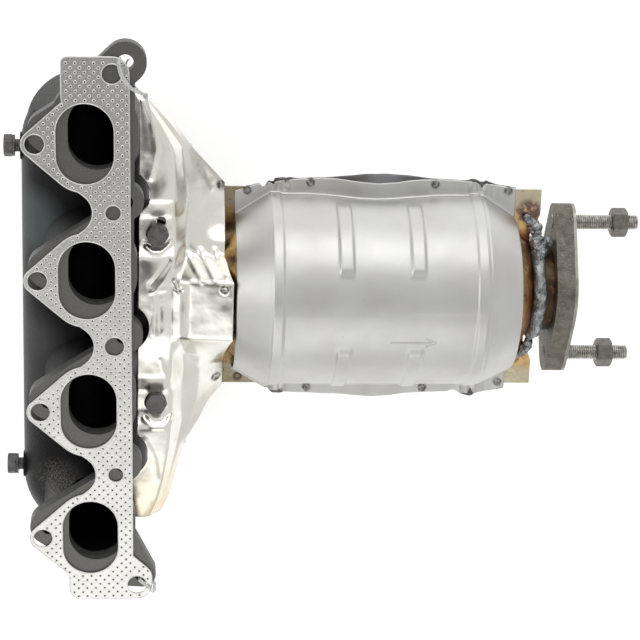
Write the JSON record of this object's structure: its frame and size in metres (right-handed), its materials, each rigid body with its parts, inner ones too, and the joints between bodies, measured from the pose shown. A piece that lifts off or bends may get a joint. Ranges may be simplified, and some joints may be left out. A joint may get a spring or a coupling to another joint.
{
  "type": "exhaust manifold catalytic converter",
  "caption": "Cast exhaust manifold with welded-on catalytic converter, heat shields, loose head gasket and studded outlet flange.",
  "frame": {"origin": "on the machined face of the head flange, midway along the line of the four lobe studs", "axes": "+Z leaves the head face, +X runs along the converter towards its outlet, +Y runs up the row of ports as pictured"},
  "size_m": [0.4218, 0.3725, 0.1318],
  "materials": {
    "cast_iron": "black coated cast iron with sandy skin; machined grey head face",
    "perforated_core": "graphite faced perforated-core sheet with bright cut edges",
    "tie": "clear nylon",
    "bright_shield": "very shiny pressed aluminised sheet, crinkled in places",
    "dark_bolt": "dark grey phosphated steel",
    "tinted_can": "stainless sheet with gold, brown and purple heat tint",
    "ceramic": "cordierite honeycomb",
    "mat": "ceramic fibre mat",
    "satin_shield": "satin stainless sheet",
    "weld": "blue-grey weld bead",
    "flange_steel": "rough taupe steel plate",
    "outlet_gasket": "thin layered steel gasket",
    "zinc": "plated threaded steel",
    "nut_steel": "grey plain steel"
  },
  "bodies": {
    "root": {"exhaust_manifold": "cast_iron", "head_gasket": "perforated_core", "gasket_tie_upper": "tie", "gasket_tie_lower": "tie", "manifold_shield": "bright_shield", "shield_bolt_upper": "dark_bolt", "shield_bolt_lower": "dark_bolt", "side_bolt_upper": "dark_bolt", "side_bolt_lower": "dark_bolt", "converter_can_front": "tinted_can", "converter_can_rear": "tinted_can", "catalyst_brick_front": "ceramic", "catalyst_brick_rear": "ceramic", "brick_mat_front": "mat", "brick_mat_rear": "mat", "converter_shield_front": "satin_shield", "converter_shield_rear": "satin_shield", "inlet_weld": "weld", "outlet_weld": "weld", "outlet_pipe": "tinted_can", "outlet_flange": "flange_steel", "outlet_gasket": "outlet_gasket", "outlet_stud_upper": "zinc", "outlet_stud_lower": "zinc", "outlet_nut_upper": "nut_steel", "outlet_nut_lower": "nut_steel"}
  },
  "joints": []
}
